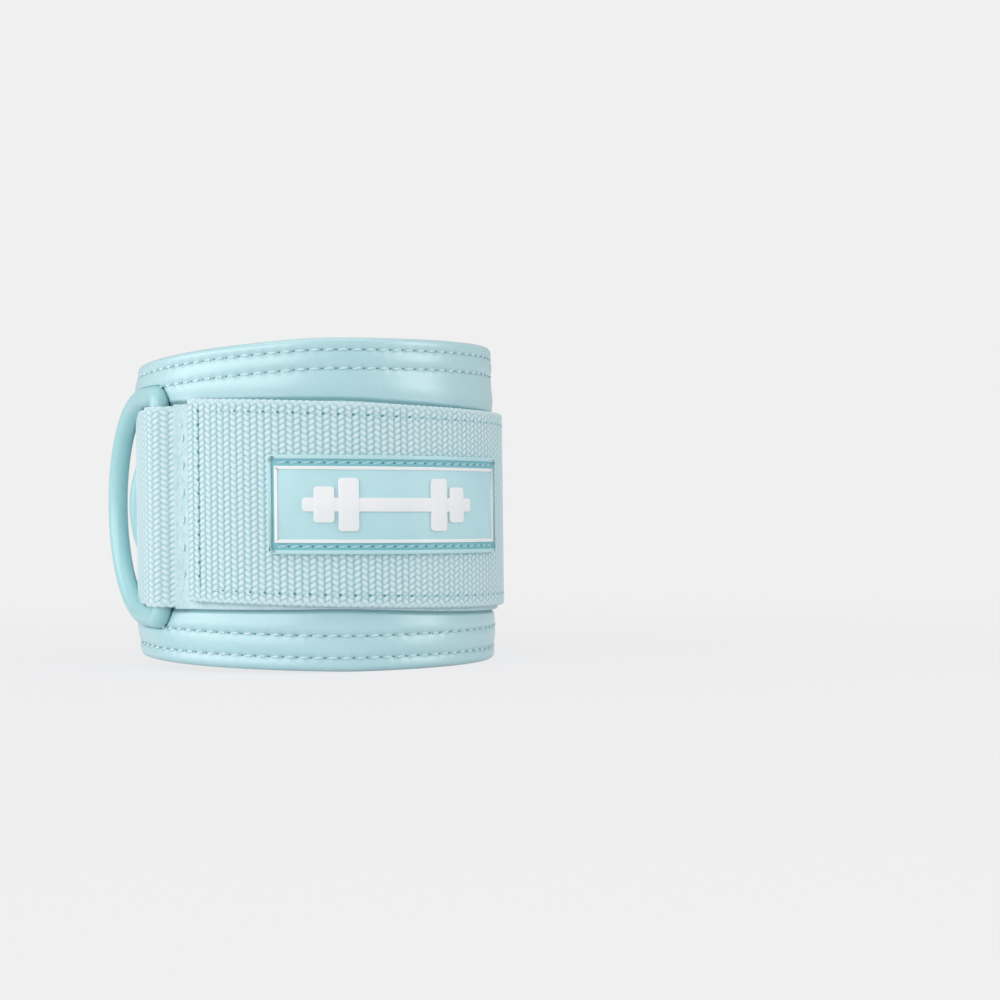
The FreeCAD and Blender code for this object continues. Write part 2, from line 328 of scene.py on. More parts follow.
def hook_plastic():
    f = Finish("hook_plastic")
    dots = f.node("ShaderNodeTexVoronoi", {"feature": "F1"},
                  {"Vector": f.place(), "Scale": 950.0, "Randomness": 0.25}, "Distance")
    colour = f.mix(f.ramp(dots, 0.15, 0.6), srgb(190, 222, 227), srgb(138, 186, 194))
    normal = f.bump(f.ramp(dots, 0.1, 0.7, 1.0, 0.0), 0.0004, 0.9)
    return f.surface(Base_Color=colour, Roughness=0.5, Normal=normal, Specular_IOR_Level=0.5)


def knitted_lining():
    f = Finish("knitted_lining")
    ribs = f.node("ShaderNodeTexWave", {"wave_type": "BANDS", "bands_direction": "Z"},
                  {"Vector": f.place(), "Scale": 260.0, "Distortion": 2.0, "Detail": 2.0,
                   "Detail Scale": 4.0}, "Fac")
    fuzz = f.noise(1400.0, 3.0, 0.7)
    colour = f.mix(ribs * 0.4 + fuzz * 0.4, srgb(128, 178, 187), srgb(168, 208, 214))
    normal = f.bump(ribs * 0.6 + fuzz * 0.4, 0.0002, 0.7)
    return f.surface(Base_Color=colour, Roughness=0.92, Normal=normal,
                     Specular_IOR_Level=0.15, Sheen_Weight=0.25, Sheen_Roughness=0.5)


def ring_enamel():
    f = Finish("ring_enamel")
    ripple = f.noise(110.0, 3.0)
    speck = f.noise(1600.0, 2.0)
    colour = f.mix(f.ramp(ripple, 0.3, 0.7), srgb(156, 206, 211), srgb(164, 212, 216))
    rough = f.ramp(speck, 0.3, 0.75, 0.30, 0.38)
    normal = f.bump(ripple, 0.00004, 0.3)
    return f.surface(Base_Color=colour, Roughness=rough, Normal=normal,
                     Specular_IOR_Level=0.75, Coat_Weight=0.25, Coat_Roughness=0.2)


def sewing_thread(name, light, dark):
    f = Finish(name)
    twist = f.node("ShaderNodeTexWave", {"wave_type": "BANDS", "bands_direction": "DIAGONAL"},
                   {"Vector": f.place(), "Scale": 900.0, "Distortion": 0.5}, "Fac")
    colour = f.mix(f.ramp(twist, 0.2, 0.8), dark, light)
    normal = f.bump(twist, 0.00008, 0.6)
    return f.surface(Base_Color=colour, Roughness=0.6, Normal=normal, Specular_IOR_Level=0.35)


def moulded_rubber(name, light, dark, roughness):
    f = Finish(name)
    skin = f.noise(1800.0, 2.0)
    tone = f.noise(70.0, 3.0)
    colour = f.mix(f.ramp(tone, 0.35, 0.65), dark, light)
    normal = f.bump(skin, 0.00002, 0.4)
    return f.surface(Base_Color=colour, Roughness=roughness, Normal=normal,
                     Specular_IOR_Level=0.45)


def plain(name, colour, roughness):
    f = Finish(name)
    return f.surface(Base_Color=colour, Roughness=roughness, Specular_IOR_Level=0.2)


LEATHER = synthetic_leather()
# Last colour: the weave's gaps, partly dye and partly painted shade.
WEBBING = woven("strap_webbing", srgb(207, 228, 232), srgb(186, 216, 221), srgb(112, 172, 181))
PILE = loop_pile()
HOOKS = hook_plastic()
KNIT = knitted_lining()
ENAMEL = ring_enamel()
THREAD = sewing_thread("pale_thread", srgb(222, 240, 242), srgb(186, 218, 224))
TONED_THREAD = sewing_thread("toned_thread", srgb(198, 227, 232), srgb(150, 196, 205))
PATCH_THREAD = sewing_thread("patch_thread", srgb(190, 224, 230), srgb(150, 200, 208))
# Painted shade: flat dark discs stand for the shade inside needle holes, lighter in the webbing.
HOLE_SHADE = plain("needle_hole_shade", srgb(84, 148, 159), 0.9)
SOFT_HOLE_SHADE = plain("webbing_needle_hole_shade", srgb(118, 178, 187), 0.9)
PATCH_RUBBER = moulded_rubber("patch_rubber", srgb(186, 224, 229), srgb(180, 219, 225), 0.36)
PATCH_WHITE = moulded_rubber("patch_white", srgb(238, 240, 241), srgb(232, 235, 236), 0.45)
PATCH_GROOVE = moulded_rubber("patch_groove", srgb(134, 198, 206), srgb(126, 190, 199), 0.6)


# ---------------------------------------------------------------- mesh helpers

def grid_mesh(columns, rows):
    """A bmesh grid whose vertices carry their own place in it, as x = column and y = row."""
    mesh = bmesh.new()
    bmesh.ops.create_grid(mesh, x_segments=columns, y_segments=rows, size=0.5)
    for v in mesh.verts:
        v.co.x = round((v.co.x + 0.5) * columns)
        v.co.y = round((v.co.y + 0.5) * rows)
        v.co.z = 0.0
    return mesh


def grid_places(mesh):
    places = np.array([v.co for v in mesh.verts])
    return places[:, 0].astype(int), places[:, 1].astype(int)


def set_places(mesh, points):
    for v, p in zip(mesh.verts, points):
        v.co = p


def seal(mesh, merge):
    """Joins the seam of a wrapped grid, closes its two ends and turns its faces outwards."""
    bmesh.ops.remove_doubles(mesh, verts=mesh.verts, dist=merge)
    bmesh.ops.holes_fill(mesh, edges=[e for e in mesh.edges if e.is_boundary], sides=0)
    bmesh.ops.triangulate(mesh, faces=[f for f in mesh.faces if len(f.verts) > 4])
    bmesh.ops.recalc_face_normals(mesh, faces=mesh.faces)


def finished(mesh, name, finish, body=None, shade=True):
    data = bpy.data.meshes.new(name)
    mesh.to_mesh(data)
    mesh.free()
    data.materials.append(finish)
    if shade:
        data.polygons.foreach_set("use_smooth", [True] * len(data.polygons))
    made = bpy.data.objects.new(name, data)
    bpy.context.scene.collection.objects.link(made)
    if body:
        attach(made, body)
    return made


def section_loop(half, thick, fine, coarse, edge):
    """Points round a flat section with rounded edges: (across, depth) with depth 0 inside, 1 outside."""
    face = np.linspace(-half + edge, half - edge, fine)
    corner = np.linspace(0, math.pi, 7)[1:-1]
    top = np.stack([half - edge + edge * np.sin(corner), 0.5 + 0.5 * np.cos(corner)], 1)
    back = np.linspace(half - edge, -half + edge, coarse)
    bottom = np.stack([-half + edge - edge * np.sin(corner), 0.5 - 0.5 * np.cos(corner)], 1)
    front = np.stack([face, np.ones(fine)], 1)
    rear = np.stack([back, np.zeros(coarse)], 1)
    return np.concatenate([front, top, rear, bottom])


def weave_height(along, across):
    """Height from 0 to 1 of the woven face: along in weft pitches and across in warp pitches."""
    column = np.floor(along)
    a = along - column - 0.5
    odd = column % 2
    slant = np.where(odd > 0.5, 1.0, -1.0)
    b = across + odd * 0.5 + slant * a * 0.58
    b = b - np.floor(b) - 0.5
    return np.cos(math.pi * a * 0.91) ** 0.5 * np.clip(np.cos(math.pi * b * 0.93), 0, 1) ** 0.6


WEFT = 1.8 * MM
WARP = 1.47 * MM
WEFT_DEGREES = degrees_for(WEFT, STRAP_FACE)


def webbing(name, start, end, inner, centre, thick=WEB_THICK, half=WEB_HALF, per=5,
            woven_from=None, woven_to=None, relief=0.30 * MM):
    """A length of woven webbing wrapped round the leg axis, with its weave as real relief."""
    woven_from = start if woven_from is None else woven_from
    woven_to = end if woven_to is None else woven_to
    stations = [start]
    while stations[-1] < end - 1e-6:
        here = stations[-1]
        fine = woven_from - 1e-6 <= here <= woven_to + 1e-6
        stations.append(min(end, here + WEFT_DEGREES / per * (1 if fine else 6)))
    stations = np.array(stations)
    edge = 0.55 * MM
    fine_rows = int(round((2 * half - 2 * edge) / WARP * 5.5))
    loop = section_loop(half, thick, fine_rows, 24, edge)
    mesh = grid_mesh(len(stations) - 1, len(loop))
    column, row = grid_places(mesh)
    wrapped = row % len(loop)
    angle = stations[column]
    across = loop[wrapped, 0]
    depth = loop[wrapped, 1]
    along = (angle - TIP.start) / WEFT_DEGREES
    hill = weave_height(along, across / WARP)
    selvedge = smooth((half - np.abs(across)) / (1.5 * MM))
    scallop = 0.5 + 0.5 * np.cos(2 * math.pi * along)
    hill = hill * selvedge + (1 - selvedge) * (0.55 + 0.35 * scallop)
    inside = (angle >= woven_from - 1e-6) & (angle <= woven_to + 1e-6)
    hill = np.where(inside, hill, 0.75)
    # The crown value also colours the face: painted shade in the gaps, a painted highlight on the
    # crowns.
    crown = np.where(depth > 0.5, hill, 0.6)
    low = inner(angle)
    radius = low + thick * depth
    radius = radius + np.where(depth > 0.5, (hill - 0.75) * relief, 0.0)
    across = across + np.sign(across) * (1 - selvedge) * (scallop - 0.5) * 0.18 * MM
    middle_radius = low + thick / 2
    tilt_rise = centre(angle, middle_radius)
    points = around(angle, radius, tilt_rise + across)
    layer = mesh.loops.layers.uv.new("weave")
    crowns = mesh.verts.layers.float.new("crown")
    mesh.verts.ensure_lookup_table()
    for v, c in zip(mesh.verts, crown):
        v[crowns] = c
    for face in mesh.faces:
        for corner in face.loops:
            place = corner.vert.co
            corner[layer].uv = (stations[min(int(place.x), len(stations) - 1)] / WEFT_DEGREES,
                                loop[int(place.y) % len(loop), 0] / WARP)
    set_places(mesh, points)
    seal(mesh, 1e-6)
    return finished(mesh, name, WEBBING)


def tape(name, start, end, inner, thick, half, centre, finish, step=1.2, rough=0.0, rows=60,
         reach=None):
    """A thin plain layer wrapped round the leg axis."""
    columns = max(2, int(round((end - start) / step)))
    loop = section_loop(half, thick, rows, 12, 0.25 * MM)
    mesh = grid_mesh(columns, len(loop))
    column, row = grid_places(mesh)
    wrapped = row % len(loop)
    angle = start + (end - start) * column / columns
    across, depth = loop[wrapped, 0], loop[wrapped, 1]
    if reach:
        across = across / half * np.where(across > 0, reach(angle, 1), reach(angle, -1))
    low = inner(angle)
    bumps = chance.normal(0.0, 1.0, (columns + 1, len(loop)))[column, wrapped] * rough
    radius = low + thick * depth + np.where(depth > 0.5, bumps, 0.0)
    points = around(angle, radius, centre(angle, low + thick / 2) + across + bumps * 0.5)
    set_places(mesh, points)
    seal(mesh, 1e-6)
    return finished(mesh, name, finish)


def level(angle, radius):
    return np.full_like(np.asarray(angle, float), MID_HEIGHT)


def sewn(angle, radius):
    return bed_centre(angle)


def bead(mesh, centre, along, up, out, length, width, height):
    """One stitch: a low rounded bead that dives into the cloth at both ends."""
    turn = Matrix((along, up, out)).transposed().to_4x4()
    scale = Matrix.Diagonal((length / 2, width / 2, height, 1.0))
    bmesh.ops.create_uvsphere(mesh, u_segments=8, v_segments=6, radius=1.0,
                              matrix=Matrix.Translation(centre) @ turn @ scale)


def lattice(first, last, pitch):
    """Whole-numbered places of stitches between two angles, so that rows and dimples agree."""
    step = degrees_for(pitch)
    return [k * step for k in range(math.ceil(first / step), math.floor(last / step) + 1)], step


def frame_at(angle, radius, height, lean=0.0):
    turn = math.radians(angle)
    out = Vector((math.sin(turn), -math.cos(turn), 0.0))
    tangent = Vector((math.cos(turn), math.sin(turn), 0.0))
    along = (tangent * math.cos(lean) + Vector((0, 0, math.sin(lean)))).normalized()
    return out * radius + Vector((0, 0, height)), along, out.cross(along).normalized(), out


def row_of_stitches(angles, radius_at, height_at, pitch=3.5 * MM, slant=0.10, length=0.66,
                    width=0.62 * MM, rise=0.24 * MM, hole_shades=None, hole_shade=(1.25 * MM, 0.85 * MM)):
    """Stitches along the leg's circumference between two angles."""
    threads = bmesh.new()
    places, step = lattice(angles[0], angles[1], pitch)
    for angle in places:
        here = float(radius_at(np.array([angle]))[0])
        height = float(height_at(np.array([angle]), here)[0])
        lean = slant + random.uniform(-0.05, 0.05)
        place, along, up, out = frame_at(angle, here + 0.03 * MM, height, lean)
        bead(threads, place, along, up, out, pitch * length * random.uniform(0.95, 1.05),
             width, rise)
        # Painted shade: a flat dark disc between stitches stands for the shade in a needle hole.
        if hole_shades is not None:
            beside = angle + step / 2
            here = float(radius_at(np.array([beside]))[0])
            height = float(height_at(np.array([beside]), here)[0])
            place, along, up, out = frame_at(beside, here, height, lean + 0.25)
            bead(hole_shades, place, along, up, out, hole_shade[0], hole_shade[1], 0.06 * MM)
    return threads


def joined(parts):
    whole = bmesh.new()
    for part in parts:
        data = bpy.data.meshes.new("part")
        part.to_mesh(data)
        part.free()
        whole.from_mesh(data)
        bpy.data.meshes.remove(data)
    return whole


# ---------------------------------------------------------------- padded cuff

UPPER_ROWS = (SKIN.high - 3.0 * MM, SKIN.high - 7.6 * MM)
LOWER_ROWS = (SKIN.low + 3.4 * MM, SKIN.low + 8.8 * MM)
CORNER = 11.0 * MM
END_ROW = 3.7
STITCH = 3.5 * MM


def rim_drop(angle, up):
    """How far a rim draws in towards the pad's narrower ends."""
    rate, start = (0.058 * MM, 88.0) if up > 0 else (0.030 * MM, 98.0)
    ends = np.minimum(angle - PAD_START, PAD_END - angle)
    away = start - ends
    return rate * (away + np.sqrt(away ** 2 + 16.0)) / 2


def pad_reach(angle, up):
    """Height of a rim above or below the pad's middle, rounded off at the pad's four corners."""
    ends = np.minimum(angle - PAD_START, PAD_END - angle)
    away = np.radians(np.maximum(ends, 0.0)) * PAD_RADIUS
    drawn = np.clip(CORNER - away, 0.0, CORNER)
    full = (SKIN.high - SKIN.low) / 2 - rim_drop(angle, up)
    return full - CORNER + np.sqrt(CORNER ** 2 - drawn ** 2)


def row_height(angle, row):
    """Height of a sewn row, which keeps its distance from the rim beside it."""
    up = 1 if row > MID_HEIGHT else -1
    return row - up * rim_drop(angle, up)


def pad_surface(angle, height):
    """Outside radius of the cover, with the bed for the webbing and the sewn rows drawn in."""
    offset = np.abs(height - bed_centre(angle))
    bed = smooth((BED_HALF + 1.1 * MM - offset) / (1.3 * MM))
    radius = PAD_RADIUS + 0.05 * MM - (PAD_RADIUS - BED_RADIUS + 0.15 * MM) * bed
    phase = np.cos(2 * math.pi * np.radians(angle) * PAD_RADIUS / STITCH)
    for row in (*UPPER_ROWS, *LOWER_ROWS):
        near = np.exp(-((height - row_height(angle, row)) / (0.85 * MM)) ** 2)
        radius = radius - near * (0.30 - 0.15 * phase) * MM
    ends = np.minimum(angle - PAD_START, PAD_END - angle)
    near = np.exp(-((ends - END_ROW) / 1.1) ** 2) * (1 - bed)
    radius = radius - near * 0.30 * MM
    for rows in (UPPER_ROWS, LOWER_ROWS):
        between = (row_height(angle, rows[0]) + row_height(angle, rows[1])) / 2
        radius = radius + np.exp(-((height - between) / (1.5 * MM)) ** 2) * 0.18 * MM
    swelling = (1 - bed) * np.exp(-((offset - 29.5 * MM) / (2.6 * MM)) ** 2)
    return radius + swelling * 0.35 * MM


def pad_section(face, back, quarter):
    """Points round the pad: share of its height, rise in the rim, depth, drop in the rim."""
    rise, run = np.sin(quarter), np.cos(quarter)
    one, none = np.ones_like(quarter), np.zeros_like
    parts = ((face, none(face), none(face) + 1, none(face)),
             (one, rise, one, run - 1),
             (one, run, -one, 1 - rise),
             (back, none(back), none(back) - 1, none(back)),
             (-one, -rise, -one, 1 - run),
             (-one, -run, one, rise - 1))
    return np.concatenate([np.stack(part, 1) for part in parts])


def pad_cover():
    columns = 440
    edge = 1.5 * MM
    quarter = np.linspace(0, math.pi / 2, 9)[1:-1]
    face = np.concatenate((np.linspace(-1, -0.6, 60), np.linspace(-0.6, 0.6, 26)[1:-1],
                           np.linspace(0.6, 1, 60)))
    section = pad_section(face, np.linspace(1, -1, 12), quarter)
    mesh = grid_mesh(columns, len(section))
    column, row = grid_places(mesh)
    share, rise, depth, drop = section[row % len(section)].T
    # More stations near both ends, where the cover turns round them.
    t = column / columns
    inset = degrees_for(edge)
    bunch = 14 / columns
    first = PAD_START + inset * (1 - np.cos(np.clip(t / bunch, 0, 1) * math.pi / 2))
    last = PAD_END - inset * (1 - np.cos(np.clip((1 - t) / bunch, 0, 1) * math.pi / 2))
    body = PAD_START + inset + (PAD_END - PAD_START - 2 * inset) * (t - bunch) / (1 - 2 * bunch)
    angle = np.where(t < bunch, first, np.where(t > 1 - bunch, last, body))
    ends = np.minimum(angle - PAD_START, PAD_END - angle)
    turned = np.sqrt(np.clip(1 - (1 - np.clip(ends / inset, 0, 1)) ** 2, 0, 1))
    inner_radius = LINING.inner + 0.5 * MM
    thick = (PAD_RADIUS - inner_radius) / 2
    reach = np.where(share > 0, pad_reach(angle, 1), pad_reach(angle, -1))
    z = share * (reach - edge) + rise * edge
    depth = depth + drop * edge / thick
    height = z + MID_HEIGHT
    shaped = pad_surface(angle, height) - PAD_RADIUS
    radius = inner_radius + thick + depth * thick * turned
    radius = radius + np.clip((depth + 1) / 2, 0, 1) ** 4 * shaped * turned
    # Painted shade along the sewn rows: a darkening mask, strongest on each row's line.
    painted_row_shade = mesh.verts.layers.float.new("painted_row_shade")
    dark = np.zeros(len(angle))
    for line in (*UPPER_ROWS, *LOWER_ROWS):
        near = np.exp(-((height - row_height(angle, line)) / (0.42 * MM)) ** 2)
        dark = np.maximum(dark, near * 0.35)
    for v, d in zip(mesh.verts, np.where((depth > 0.9) & (turned > 0.8), dark, 0.0)):
        v[painted_row_shade] = d
    # Both rings press their legs and bars into the pad.
    set_places(mesh, pressed(around(angle, radius, height)))
    seal(mesh, 2e-6)
    made = finished(mesh, "padded_cover", LEATHER, "cuff")
    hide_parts("outer_skin", "foam_core")


def ring_line():
    """Centre line of half a D-ring: distances out from its bar and up from its middle."""
    half = BAR_HALF + RING_CORNER
    sides = np.linspace(0, BAR_HALF, 26)[:-1]
    turn = np.linspace(math.pi, math.pi / 2, 7)
    leg = np.linspace(RING_CORNER, LEG_END, 9)[1:-1]
    bow = np.linspace(math.pi / 2, 0.35, 30)
    out = np.concatenate([sides * 0, RING_CORNER + RING_CORNER * np.cos(turn), leg,
                          LEG_END + BOW_REACH * np.cos(bow)])
    up = np.concatenate([sides, BAR_HALF + RING_CORNER * np.sin(turn), leg * 0 + half,
                         half * np.sin(bow)])
    return out, up


def pressed(points):
    """Pushes the cover's skin clear of both rings, from their lowest up to their highest."""
    gap = WIRE + 0.3 * MM
    out, up = ring_line()
    for joint, towards, lean in (("front_ring_swing", -1, FRONT_LEAN),
                                 ("rear_ring_swing", 1, REAR_LOW_LEAN)):
        bar = np.array(JOINTS[joint]["pos_m"])
        bar_angle = math.degrees(math.atan2(bar[0], -bar[1]))
        near = np.where(np.hypot(points[:, 0] - bar[0], points[:, 1] - bar[1]) < 30 * MM)[0]
        for swing in RING_SWINGS:
            heading = math.radians(bar_angle + towards * (90.0 - lean - swing))
            run = np.array([math.sin(heading), -math.cos(heading), 0.0])
            here = points[near]
            distance = np.full(len(near), 1.0)
            for along, rise in zip(out, up):
                for side in (1, -1):
                    place = bar + run * along + np.array([0, 0, side * rise])
                    distance = np.minimum(distance, np.linalg.norm(here - place, axis=1))
            radial = here[:, :2] / np.linalg.norm(here[:, :2], axis=1)[:, None]
            push = np.clip(gap - distance, 0.0, None)
            points[near, :2] -= radial * push[:, None]
    return points


def pad_lining():
    made = tape("pad_lining", PAD_START + degrees_for(1.8 * MM), PAD_END - degrees_for(1.8 * MM),
                lambda angle: np.full_like(angle, LINING.inner), 0.9 * MM,
                (SKIN.high - SKIN.low) / 2 - 1.4 * MM, level, KNIT, step=0.5,
                rough=0.03 * MM, rows=80,
                reach=lambda angle, up: pad_reach(angle, up) - 1.4 * MM)
    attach(made, "cuff")
    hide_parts("inner_lining")


pad_cover()
pad_lining()


def pad_stitches():
    hole_shades = bmesh.new()
    parts = []
    for line in (*UPPER_ROWS, *LOWER_ROWS):
        inset = degrees_for(CORNER) * 0.62
        if line in (UPPER_ROWS[1], LOWER_ROWS[1]):
            inset = degrees_for(CORNER) * 0.36
        parts.append(row_of_stitches(
            (PAD_START + inset, PAD_END - inset),
            lambda angle, line=line: pad_surface(angle, row_height(angle, line)),
            lambda angle, radius, line=line: row_height(angle, line), hole_shades=hole_shades))
    made = finished(joined(parts), "edge_stitches", THREAD, "cuff")
    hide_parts("edge_stitching_upper", "edge_stitching_lower")
    parts = []
    for angle in (PAD_START + END_ROW, PAD_END - END_ROW):
        parts.append(upright_stitches(angle, lambda z, angle=angle: float(
            pad_surface(np.array([angle]), np.array([z]))[0]),
            ((SKIN.low + 11.5 * MM, MID_HEIGHT - BED_HALF - 0.8 * MM),
             (MID_HEIGHT + BED_HALF + 0.8 * MM, SKIN.high - 13.0 * MM)), hole_shades))
    made = finished(joined(parts), "end_stitches", THREAD, "cuff")
    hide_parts("end_stitching_front", "end_stitching_rear")
    # Painted shade for the cover's needle holes.
    finished(hole_shades, "cover_needle_hole_shade", HOLE_SHADE, "cuff")


def upright_stitches(angle, radius_at, runs, hole_shades=None, pitch=STITCH, wave=0.0):
    threads = bmesh.new()
    turn = math.radians(angle)
    out = Vector((math.sin(turn), -math.cos(turn), 0.0))
    tangent = Vector((math.cos(turn), math.sin(turn), 0.0))
    for low, high in runs:
        count = max(1, int(round((high - low) / pitch)))
        for i in range(count):
            z = low + (high - low) * (i + 0.5) / count
            shift = tangent * (wave * (1 if i % 2 else -1))
            place = out * (radius_at(z) + 0.02 * MM) + Vector((0, 0, z)) + shift
            along = (Vector((0, 0, 1)) + tangent * (0.12 if i % 2 else -0.12)).normalized()
            up = out.cross(along).normalized()
            bead(threads, place, along, up, out, (high - low) / count * 0.64, 0.6 * MM, 0.22 * MM)
            # Painted shade: a flat dark disc above each stitch stands for the shade in its needle hole.
            if hole_shades is not None:
                gap = place + Vector((0, 0, (high - low) / count / 2)) - out * 0.01 * MM
                bead(hole_shades, gap, Vector((0, 0, 1)), -tangent, out, 0.9 * MM, 0.75 * MM, 0.05 * MM)
    return threads


pad_stitches()


# ---------------------------------------------------------------- webbing, tapes and strap

SPLIT_FRONT = 27.0
SPLIT_SIDE = 88.0


def point_at(angle):
    return around(np.array([angle]), np.array([STRAP_FACE]), np.array([MID_HEIGHT]))[0]


def bend_tip(piece):
    point_at(TIP_FOLD + 3.5)
    point_at(TIP_FOLD - 6.5)
    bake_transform(piece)


def bend_middle(piece):
    point_at(MIDDLE_FOLD + 7.0)
    point_at(MIDDLE_FOLD - 6.0)
    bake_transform(piece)


def bend_side(piece):
    point_at(SIDE_FOLD + 9.0)
    point_at(SIDE_FOLD - 9.0)
    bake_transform(piece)


def make_webbing():
    base = webbing("base_webbing_woven", BASE.start, BASE.end, base_inner, sewn,
                   woven_from=BASE.start, woven_to=PILE_START + 4.0)
    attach(base, "cuff")
    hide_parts("base_webbing")

    parts = (
        ("strap_front_end", TIP.start, SPLIT_FRONT, bend_tip, ("strap_tip",)),
        ("strap_front_side", SPLIT_FRONT, SPLIT_SIDE, bend_middle, ("strap_middle",)),
        ("strap_back", SPLIT_SIDE, REAR.end, bend_side, ("strap_side", "strap_rear")),
    )
    for name, start, end, bend, stood_for in parts:
        made = webbing(name, start, end, strap_inner, strap_centre)
        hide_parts(*stood_for)
        bend(made)


def make_tapes():
    pile = tape("loop_pile_tape", PILE_START, LOOP.end, lambda a: base_inner(a) + WEB_THICK,
                0.6 * MM, (LOOP.high - LOOP.low) / 2, sewn, PILE, step=0.4, rough=0.05 * MM,
                rows=130)
    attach(pile, "cuff")
    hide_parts("loop_tape")
    hook_half = 22.0 * MM
    for name, start, end, bend, stood_for in (
            ("hook_tape_end", HOOK_TIP.start, SPLIT_FRONT, bend_tip, ("hook_tape_tip",)),
            ("hook_tape_front", SPLIT_FRONT, SPLIT_SIDE, bend_middle, ("hook_tape_middle",)),
            ("hook_tape_back", SPLIT_SIDE, HOOK_SIDE.end, bend_side, ("hook_tape_side",))):
        made = tape(name, start, end, lambda a: np.full_like(a, HOOK_TIP.inner), 0.5 * MM,
                    hook_half, strap_centre, HOOKS, step=0.8)
        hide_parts(*stood_for)
        bend(made)


def make_strap_stitches():
    row = WEB_HALF - 3.0 * MM
    tip_row = TIP.start + degrees_for(3.4 * MM, STRAP_FACE)
    parts = (
        ("strap_end_stitches", tip_row + 1.5, SPLIT_FRONT, bend_tip, ("strap_tip_stitching",)),
        ("strap_side_stitches", SPLIT_FRONT, SPLIT_SIDE, bend_middle, ("strap_middle_stitching",)),
        ("strap_back_stitches", SPLIT_SIDE, HOOK_SIDE.end, bend_side, ("strap_side_stitching",)),
    )
    for name, start, end, bend, stood_for in parts:
        hole_shades = bmesh.new()
        threads = []
        for up in (1, -1):
            threads.append(row_of_stitches(
                (start, end), lambda a: strap_inner(a) + WEB_THICK,
                lambda a, r, up=up: strap_centre(a, r) + up * row, hole_shades=hole_shades,
                slant=0.05, length=0.6, width=0.5 * MM, rise=0.12 * MM,
                hole_shade=(0.85 * MM, 0.6 * MM)))
        if bend is bend_tip:
            centre = float(strap_centre(np.array([tip_row]), STRAP_FACE)[0])
            threads.append(upright_stitches(
                tip_row, lambda z: STRAP_FACE, ((centre - row, centre + row),), hole_shades))
        made = finished(joined(threads), name, TONED_THREAD)
        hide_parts(*stood_for)
        bend(made)
        # Painted shade for the needle holes, darker on the strap's end piece.
        dark = finished(hole_shades, name + "_hole_shade", HOLE_SHADE if bend is bend_tip else SOFT_HOLE_SHADE)
        bend(dark)


def make_fixed_stitches():
    row = WEB_HALF - 3.0 * MM
    run = ((MID_HEIGHT - row, MID_HEIGHT + row),)
    loop_angle = Span("loop_tape_stitching")
    ring_angle = Span("ring_stitching_front")
    for name, span, radius, wave, node in (
            ("loop_tape_stitches", loop_angle, LOOP_RADIUS + 0.6 * MM, 0.35 * MM,
             "loop_tape_stitching"),
            ("ring_stitches", ring_angle, LOOP_RADIUS, 0.0, "ring_stitching_front")):
        angle = (span.start + span.end) / 2
        at = radius + float(swell(np.array([angle]))[0])
        hole_shades = bmesh.new()
        threads = upright_stitches(angle, lambda z: at, run, hole_shades, wave=wave)
        thread = THREAD if node == "loop_tape_stitching" else TONED_THREAD
        made = finished(threads, name, thread, "cuff")
        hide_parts(node)
        if node == "ring_stitching_front":
            # Painted shade for the ring stitches' needle holes.
            finished(hole_shades, name + "_hole_shade", HOLE_SHADE, "cuff")


make_webbing()
make_tapes()
make_strap_stitches()
make_fixed_stitches()


# ---------------------------------------------------------------- sewn patch

PATCH_LENGTH = math.radians(PATCH.end - PATCH.start) * (STRAP_FACE + 0.8 * MM)
PATCH_HALF = 12.1 * MM
PATCH_MIDDLE = (PATCH.start + PATCH.end) / 2
PATCH_FACE = STRAP_FACE + 0.8 * MM


def wrapped_on_patch(mesh, base=0.0):
    """Bends a flat mesh (x along, y up, z out) onto the strap's face where the patch is sewn."""
    points = np.array([v.co for v in mesh.verts])
    angle = PATCH_MIDDLE + np.degrees(points[:, 0] / PATCH_FACE)
    radius = STRAP_FACE + base + points[:, 2]
    x = PATCH_FACE * np.sin(np.radians(angle))
    height = MID_HEIGHT - (x - TILT_LINE) * math.tan(PATCH_TILT) + points[:, 1]
    set_places(mesh, around(angle, radius, height))


def sliced(mesh, half, step=1.2 * MM):
    """Cuts a flat mesh across its length so that it can bend."""
    count = int(2 * half / step)
    for i in range(1, count):
        at = -half + 2 * half * i / count
        bmesh.ops.bisect_plane(mesh, geom=mesh.verts[:] + mesh.edges[:] + mesh.faces[:],
                               plane_co=(at, 0, 0), plane_no=(1, 0, 0))


def raised_frame(outer, inner, low, high, corner, soft):
    """A closed rounded frame: outer and inner are (half length, half height)."""
    mesh = bmesh.new()
    bmesh.ops.create_grid(mesh, x_segments=1, y_segments=1, size=1.0)
    for v in mesh.verts:
        v.co = Vector((v.co.x * outer[0], v.co.y * outer[1], low))
    bmesh.ops.bevel(mesh, geom=mesh.verts[:], offset=corner, segments=4, profile=0.5,
                    affect="VERTICES", material=-1)
    width = outer[0] - inner[0]
    kept = mesh.faces[:]
    bmesh.ops.inset_region(mesh, faces=kept, thickness=width, use_even_offset=True, use_boundary=True)
    middle = [f for f in mesh.faces if f in kept]
    bmesh.ops.delete(mesh, geom=middle, context="FACES_ONLY")
    made = bmesh.ops.extrude_face_region(mesh, geom=mesh.faces[:])
    lifted = [g for g in made["geom"] if isinstance(g, bmesh.types.BMVert)]
    bmesh.ops.translate(mesh, verts=lifted, vec=(0, 0, high - low))
    bmesh.ops.recalc_face_normals(mesh, faces=mesh.faces)
    top = [e for e in mesh.edges if all(v.co.z > high - 1e-7 for v in e.verts)
           and any(abs(f.normal.z) < 0.5 for f in e.link_faces)]
    bmesh.ops.bevel(mesh, geom=top, offset=soft, segments=3, profile=0.5,
                    affect="EDGES", material=-1)
    return mesh


